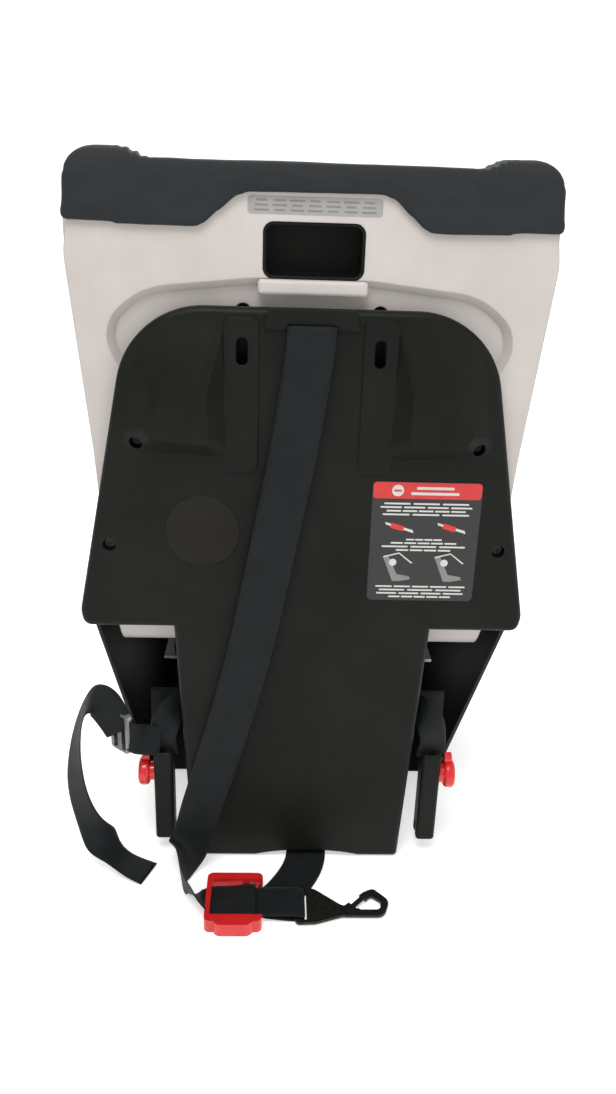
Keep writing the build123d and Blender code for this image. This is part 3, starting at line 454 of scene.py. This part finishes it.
# ---- tether and lower anchor webbing -----------------------------------------------------------
TETHER_WIDTH = 0.042
LEAD_WIDTH = 0.040
BELT_WIDTH = 0.036
DROP_WIDTH = 0.030
LINK_WIDTH = 0.032
TAIL_WIDTH = 0.034
SHOULDER_WIDTH = 0.038
UP = Vector((0, 0, 1))
LEFT = Vector((1, 0, 0))
REAR = Vector((0, 1, 0))


def tether_webbing():
    """Long webbing from the bezel to the adjuster, the lead to the hook and the spare end."""
    stops = [
        (mm(0, 190, 557), LEFT),
        (mm(0, 201, 557.5), LEFT),
        (mm(0, 204.6, 556), LEFT),
        (mm(1, 204.8, 535), LEFT),
        (mm(12, 206.5, 454), Vector((1, 0.02, 0.1))),
        (mm(27, 209, 375), Vector((1, 0.03, 0.2))),
        (mm(50, 210, 250), Vector((1, -0.05, 0.24))),
        (mm(76, 208, 150), Vector((1, -0.12, 0.27))),
        (mm(99, 207, 70), Vector((1, -0.25, 0.28))),
        (mm(110, 209, 30), Vector((0.9, -0.5, 0.3))),
        (mm(116, 222, 21), Vector((0.55, -0.35, 0.75))),
        (mm(118, 244, 23), Vector((0.1, 0, 1))),
        (mm(112, 266, 22), Vector((0.05, 0.25, 0.95))),
        (mm(99, 273, 12), Vector((0, 0.75, 0.6))),
        (mm(86, 272, 7.6), REAR),
        (mm(66, 272, 7.8), REAR),
        (mm(48, 272, 10.6), REAR),
        (mm(41, 272, 10.2), REAR),
    ]
    strap, line, length = ribbon("tether_webbing", stops, TETHER_WIDTH, "seat", "tether_strap")
    stops = [
        (mm(56, 272, 6.2), REAR),
        (mm(48, 272, 5.6), REAR),
        (mm(40, 272, 6), REAR),
        (mm(30, 272, 7), REAR),
        (mm(12, 272, 7.2), REAR),
        (mm(-5, 272.5, 7.4), REAR),
        (mm(-8, 272.5, 4), REAR),
        (mm(-5, 272.5, 1.5), REAR),
        (mm(10, 272, 1.5), REAR),
        (mm(26, 272, 3.8), REAR),
    ]
    lead, _, _ = ribbon("tether_lead_webbing", stops, LEAD_WIDTH, "seat", "tether_lead")
    stops = [
        (mm(38, 272, 9), REAR),
        (mm(31, 272, 4.2), REAR),
        (mm(20, 264, 2.2), Vector((-0.35, 1, 0.03))),
        (mm(4, 240, 1.6), Vector((-0.9, 0.6, 0))),
        (mm(-8, 215, 1.5), Vector((-1, 0.25, 0))),
        (mm(-12, 190, 1.4), Vector((-1, 0, 0))),
        (mm(-12, 152, 1.4), Vector((-1, 0, 0))),
    ]
    spare, _, _ = ribbon("tether_spare_webbing", stops, TETHER_WIDTH, "seat", "tether_tail")


def anchor_webbing():
    """Lower anchor webbing: across the tunnel, down to both connectors, and the free tail."""
    stops = [(mm(x, 136.8, 152), UP) for x in (-157, -60, 60, 157)]
    ribbon("anchor_webbing", stops, BELT_WIDTH, "seat", "latch_strap")
    for side, name in ((1, "anchor_drop_left"), (-1, "anchor_drop_right")):
        hang = (
            ((121, 150, 158), (0, 0.2, 1)),
            ((122, 163, 166), (0.1, 0.1, 1)),
            ((129, 176, 168), (0.45, 0.1, 0.9)),
            ((137, 185, 156), (0.85, -0.3, 0.45)),
            ((140, 184, 138), (1, -0.35, 0)),
            ((139, 180, 124), (1, -0.1, 0)),
            ((139, 180, 116), (1, 0, 0)),
        )
        stops = [(mm(side * x, y, z), Vector((side * a, b, c))) for (x, y, z), (a, b, c) in hang]
        ribbon(name, stops, DROP_WIDTH, "seat")
    stops = [
        (mm(141, 186, 136), Vector((0.5, 0, 1))),
        (mm(154, 189, 138), Vector((0.3, 0, 1))),
        (mm(166, 199, 148), UP),
        (mm(174, 197, 150), UP),
        (mm(179, 187, 150), UP),
        (mm(187, 185, 150), UP),
        (mm(192, 176, 150), UP),
    ]
    ribbon("anchor_link", stops, LINK_WIDTH, "seat")
    stops = [
        (mm(179, 193.6, 152), Vector((-0.2, 0, 1))),
        (mm(187, 194.2, 168), Vector((-0.75, 0, 0.7))),
        (mm(196, 194, 186), Vector((-0.6, -0.5, 0.6))),
        (mm(209, 192, 189), Vector((-0.1, -0.9, 0.45))),
        (mm(220, 191, 168), Vector((0.2, -1, 0.1))),
        (mm(228, 192, 125), Vector((0.5, -0.85, 0.05))),
        (mm(228, 196, 80), Vector((0.75, -0.6, 0.1))),
        (mm(214, 203, 42), Vector((0.85, -0.3, 0.45))),
        (mm(192, 212, 16), Vector((0.75, 0.2, 0.6))),
        (mm(172, 219, 3.4), Vector((0.5, 0.85, 0.08))),
        (mm(152, 227, 1.5), Vector((0.4, 0.9, 0))),
    ]
    tail, line, length = ribbon("anchor_tail", stops, TAIL_WIDTH, "seat", "latch_tail")


tether_webbing()
anchor_webbing()


# ---- harness ----------------------------------------------------------------------------------
def harness():
    """Shoulder and lap webs of each side, the crotch web and the pull web."""
    for side, hand in ((1, "left"), (-1, "right")):
        shoulder = (
            (42, 189.6, 418), (42, 189.6, 449), (42, 182, 452), (42, 120, 452),
            (42, 103, 452.5), (42, 99.6, 447), (42, 99.8, 400), (42, 100, 330),
            (42, 98, 288), (41, 84, 269), (34, 55, 266), (22, 26, 265),
        )
        stops = [(mm(side * x, y, z), LEFT) for x, y, z in shoulder]
        ribbon(f"shoulder_web_{hand}", stops, SHOULDER_WIDTH, "seat", f"harness_{hand}")
        lap = (
            ((134.5, 84, 192), (0, 1, 0)),
            ((134.5, 84, 245), (0, 1, 0)),
            ((133, 84, 266), (0, 1, 0.05)),
            ((116, 80, 268.5), (-0.1, 1, 0)),
            ((84, 66, 268.4), (-0.35, 1, 0)),
            ((48, 44, 267.8), (-0.5, 1, 0)),
            ((18, 31, 267.2), (-0.3, 1, 0)),
        )
        stops = [(mm(side * x, y, z), Vector((side * a, b, c))) for (x, y, z), (a, b, c) in lap]
        ribbon(f"lap_web_{hand}", stops, BELT_WIDTH, "seat")
    crotch = ((0, -98, 192), (0, -98, 250), (0, -96, 262), (0, -84, 264.6), (0, -48, 264.6))
    stops = [(mm(*place), LEFT) for place in crotch]
    ribbon("crotch_web", stops, SHOULDER_WIDTH, "seat", "crotch_strap")
    under = (
        (0, 189.6, 390), (0, 189.6, 320), (0, 188, 268), (0, 150, 214), (0, 70, 192),
        (0, 0, 181), (0, -190, 184), (0, -236, 188), (0, -239.2, 206), (0, -239, 229),
    )
    stops = [(mm(*place), LEFT) for place in under]
    ribbon("pull_web", stops, SHOULDER_WIDTH, "seat", "adjuster_web")


harness()


# ---- cushions ---------------------------------------------------------------------------------
def remeshed(node, voxel, inset):
    """Copy of a CAD solid in even quads, a little smaller than the solid."""
    piece = bpy.data.objects.new("form", nodes[node].data.copy())
    bpy.context.collection.objects.link(piece)
    modifier = piece.modifiers.new("even", "REMESH")
    modifier.mode = "VOXEL"
    modifier.voxel_size = voxel
    mesh = applied(piece)
    for vertex in mesh.vertices:
        vertex.co -= vertex.normal * inset
    return mesh


def applied(piece):
    """Mesh of an object with its modifiers, the object removed."""
    bpy.context.view_layer.update()
    graph = bpy.context.evaluated_depsgraph_get()
    mesh = bpy.data.meshes.new_from_object(piece.evaluated_get(graph))
    bpy.data.objects.remove(piece)
    return mesh


CLOTH_PRESSURE = 4.0
CLOTH_STEPS = 20
CLOTH_STIFFNESS = 12
SEAM_DEPTH = 0.0035
SEAM_WIDTH = 0.004


def swell(mesh, cap):
    """Blow a closed form up with cloth simulation, each point moving at most cap."""
    start = [vertex.co.copy() for vertex in mesh.vertices]
    piece = bpy.data.objects.new("form", mesh)
    bpy.context.collection.objects.link(piece)
    cloth = piece.modifiers.new("cloth", "CLOTH")
    cloth.settings.quality = 5
    cloth.settings.use_pressure = True
    cloth.settings.uniform_pressure_force = CLOTH_PRESSURE
    cloth.settings.effector_weights.gravity = 0
    cloth.settings.tension_stiffness = CLOTH_STIFFNESS
    cloth.settings.compression_stiffness = CLOTH_STIFFNESS
    cloth.point_cache.frame_end = CLOTH_STEPS
    for step in range(1, CLOTH_STEPS + 1):
        bpy.context.scene.frame_set(step)
    result = applied(piece)
    bpy.context.scene.frame_set(1)
    for vertex, place in zip(result.vertices, start):
        move = vertex.co - place
        if move.length > cap:
            vertex.co = place + move.normalized() * cap
    return result


def pinch(mesh, seams):
    """Sink sewn seams: each seam is a function giving a point's distance from it, in metres."""
    normals = [vertex.normal.copy() for vertex in mesh.vertices]
    for vertex, normal in zip(mesh.vertices, normals):
        sink = sum(SEAM_DEPTH * exp(-(seam(vertex.co) / SEAM_WIDTH) ** 2) for seam in seams)
        vertex.co -= normal * min(sink, SEAM_DEPTH)


def wrinkle(mesh, height, scale):
    """Fine slack in the fabric."""
    normals = [vertex.normal.copy() for vertex in mesh.vertices]
    for vertex, normal in zip(mesh.vertices, normals):
        vertex.co += normal * height * noise.fractal(vertex.co * scale, 0.8, 2.0, 3)


def cushion(name, node, body, seams, voxel, cap, inset=0.003, keep=None):
    """Padded piece in place of a soft CAD solid; keep says which points stay where they rest."""
    mesh = remeshed(node, voxel, inset)
    still = [vertex.co.copy() for vertex in mesh.vertices]
    mesh = swell(mesh, cap)
    if keep:
        for vertex, place in zip(mesh.vertices, still):
            if keep(place):
                vertex.co = place
    pinch(mesh, seams)
    wrinkle(mesh, 0.0007, 30)
    piece = bpy.data.objects.new("form", mesh)
    bpy.context.collection.objects.link(piece)
    modifier = piece.modifiers.new("fine", "SUBSURF")
    modifier.levels = 1
    piece = add_piece(name, applied(piece), "seat_fabric", body, node)


def channel(axis, middle, end_axis=None, end=0.0):
    """Distance from the seam plane at middle along axis, and from its end where it stops."""
    def distance(place):
        past = max(0, abs(place[end_axis]) - end) if end_axis is not None else 0
        return abs(place[axis] - middle) + past
    return distance


def side_seams(x):
    """Distance from the two seams at x on each side."""
    return lambda place: abs(abs(place.x) - x)


def cushions():
    """Every pad, with its seams, in place of its CAD solid."""
    seat_half = 0.095
    back_half = 0.078
    head_half = 0.055
    cushion("seat_pad", "seat_cushion", "seat",
            [lambda p: abs(abs(p.x) - seat_half) + max(0, -0.17 - p.y),
             channel(1, -0.165, 0, seat_half)],
            voxel=0.006, cap=0.006, keep=lambda p: p.z < 0.238)
    cushion("back_pad", "back_cushion", "seat",
            [side_seams(back_half), channel(2, 0.335, 0, back_half),
             channel(2, 0.405, 0, back_half)],
            voxel=0.006, cap=0.006, keep=lambda p: p.y > 0.113)
    cushion("head_pad", "headrest_pad", "headrest",
            [side_seams(head_half), channel(2, 0.548, 0, head_half)],
            voxel=0.0045, cap=0.006, keep=lambda p: p.y > 0.082)
    for side, hand in ((1, "left"), (-1, "right")):
        cushion(f"bolster_{hand}", f"hip_bolster_{hand}", "seat", [channel(2, 0.29)],
                voxel=0.004, cap=0.005, keep=lambda p, side=side: side * p.x > 0.163)
        cushion(f"wing_{hand}", f"wing_pad_{hand}", "seat", [channel(2, 0.43), channel(2, 0.54)],
                voxel=0.004, cap=0.005, keep=lambda p, side=side: side * p.x > 0.162)
        cushion(f"shoulder_{hand}", f"shoulder_pad_{hand}", "seat", [side_seams(0.042)],
                voxel=0.0025, inset=0.001, cap=0.002)


cushions()


# ---- top cover --------------------------------------------------------------------------------
TUCK_X = 0.15


def fabric_top():
    """Fabric cover drawn over the shell's top edge, with slack folds and tucks at its top edge."""
    mesh = remeshed("top_cover", 0.0026, 0.0)
    shell_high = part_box("seat_shell")[1]
    piece = bpy.data.objects.new("form", mesh)
    bpy.context.collection.objects.link(piece)
    modifier = piece.modifiers.new("soften", "CORRECTIVE_SMOOTH")
    modifier.use_only_smooth = True
    modifier.iterations = 6
    mesh = applied(piece)
    normals = [vertex.normal.copy() for vertex in mesh.vertices]
    for vertex, normal in zip(mesh.vertices, normals):
        place = vertex.co
        fold = noise.noise(Vector((place.x * 16, place.y * 10, place.z * 34)))
        fine = noise.noise(Vector((place.x * 60, place.y * 60, place.z * 90 + 4)))
        near_tuck = exp(-((abs(place.x) - TUCK_X) / 0.012) ** 2)
        tuck = near_tuck * sin(place.x * 800 + place.y * 90)
        near_top = min(1, max(0, (place.z - shell_high.z + 0.004) / 0.012))
        rise = 0.0009 * fold + 0.00025 * fine + 0.0012 * tuck * near_top
        outside = place.y > shell_high.y - 0.002 or place.z > shell_high.z + 0.003
        vertex.co += normal * rise * (1.0 if outside else 0.3)
    piece = add_piece("fabric_top", mesh, "dark_fabric", "seat", "top_cover")


fabric_top()


# ---- printed panels ---------------------------------------------------------------------------
def flat_colour(name, colour, rough=0.4):
    paint = Paint(name)
    paint.colour(paint.noise(90, 3), tuple(value * 0.9 for value in colour), colour, 0.3, 0.7)
    paint.rough(paint.noise(300, 3), rough - 0.06, rough + 0.06)
    return paint.material


finish_of["print_red"] = flat_colour("print_red", (0.62, 0.03, 0.03))
finish_of["print_pale"] = flat_colour("print_pale", (0.62, 0.62, 0.6))
finish_of["print_grey"] = flat_colour("print_grey", (0.22, 0.22, 0.22))
finish_of["film"] = flat_colour("film", (0.36, 0.35, 0.34), 0.3)


LAYER = 0.00013
LAYER_THICK = 0.00012
BAR_HEIGHT = 0.0016
BAR_ROUND = 0.0006


def printed(name, corners, face, slot):
    """Thin layer of print on a rear-facing surface."""
    piece = plate(name, corners, face, face + LAYER_THICK, slot, "seat")
    for polygon in piece.data.polygons:
        polygon.use_smooth = False


def info_panel():
    """Header with a round mark, rows of plain bars, and two rows of simple drawings."""
    low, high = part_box("info_label")
    face = high.y
    middle = (low.x + high.x) / 2
    width = high.x - low.x
    header_z = high.z - 0.0085
    mark_x = middle + width * 0.27
    header = rounded(middle, header_z, width - 0.0015, 0.0155, 0.003)
    printed("panel_header", header, face, "print_red")
    mark = rounded(mark_x, header_z, 0.011, 0.011, 0.0054)
    printed("panel_mark", mark, face + LAYER, "print_pale")
    mark_bar = rounded(mark_x, header_z, 0.0072, 0.0018, 0.0008)
    printed("panel_mark_bar", mark_bar, face + 2 * LAYER, "print_red")
    for row, (z, share) in enumerate(((high.z - 0.006, 0.34), (high.z - 0.0112, 0.44))):
        title = rounded(middle - width * 0.07, z, width * share, 0.0026, 0.001)
        printed(f"panel_title_{row}", title, face + LAYER, "print_pale")
    # how far each row of bars lies under the panel's top, and its share of the panel's width
    rows = (
        (0.021, 0.80), (0.0245, 0.86), (0.028, 0.74), (0.0315, 0.82),
        (0.056, 0.34), (0.0595, 0.62), (0.063, 0.80), (0.0665, 0.52),
        (0.1035, 0.86), (0.107, 0.80), (0.1105, 0.84), (0.114, 0.6),
    )
    for row, (drop, share) in enumerate(rows):
        broken = 3 + row % 3
        for k in range(broken):
            centre = middle + width * share * ((k + 0.5) / broken - 0.5)
            bar_width = width * share / broken * 0.9
            bar = rounded(centre, high.z - drop, bar_width, BAR_HEIGHT, BAR_ROUND)
            printed(f"panel_line_{row}_{k}", bar, face, "print_pale")
    for k, x in enumerate((middle + width * 0.24, middle - width * 0.24)):
        strap_drawing(k, x, high.z - 0.0435, face)
        seat_drawing(k, x, high.z - 0.085, face)


def around(x, z, corners):
    """Outline from offsets in millimetres round a centre."""
    return [(x + across / 1000, z + up / 1000) for across, up in corners]


def strap_drawing(k, x, z, face):
    """A slanted strap with a clip on it."""
    strap = around(x, z, ((-14, -6), (12, 2), (13, 4.5), (-13, -3)))
    printed(f"panel_strap_{k}", strap, face, "print_pale")
    clip = around(x, z, ((-4, -4.5), (8, -1), (7, 4), (-5, 0.5)))
    printed(f"panel_clip_{k}", clip, face + LAYER, "print_red")


def seat_drawing(k, x, z, face):
    """A seat from the side, with a round head and a strap over it."""
    back = around(x, z, ((-4, -13), (3, -13), (13, 12), (8, 13), (-1, -6), (-13, -8), (-14, -11)))
    printed(f"panel_seat_{k}", back, face, "print_grey")
    head = rounded(x + 0.0035, z + 0.006, 0.007, 0.007, 0.0034)
    printed(f"panel_child_{k}", head, face + LAYER, "print_pale")
    strap = around(x, z, ((13, 12), (-2, 16), (-15, 6), (-14, 5), (-2, 14.8), (12.5, 10.8)))
    printed(f"panel_tether_{k}", strap, face + LAYER, "print_pale")


def slot_panel():
    """Narrow grey film above the carrying slot, with three rows of plain bars."""
    slot_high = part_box("handle_liner")[1]
    shell_face = slot_high.y + 0.001
    z = slot_high.z + 0.0125
    printed("slot_film", rounded(0, z, 0.112, 0.0145, 0.003), shell_face, "film")
    for row in range(3):
        for k in range(7):
            bar_z = z + (row - 1) * 0.0038
            bar_width = 0.0128 - 0.002 * ((row + k) % 3)
            bar = rounded((k - 3) * 0.0148, bar_z, bar_width, 0.0015, BAR_ROUND)
            printed(f"slot_line_{row}_{k}", bar, shell_face + LAYER, "print_grey")


info_panel()
slot_panel()
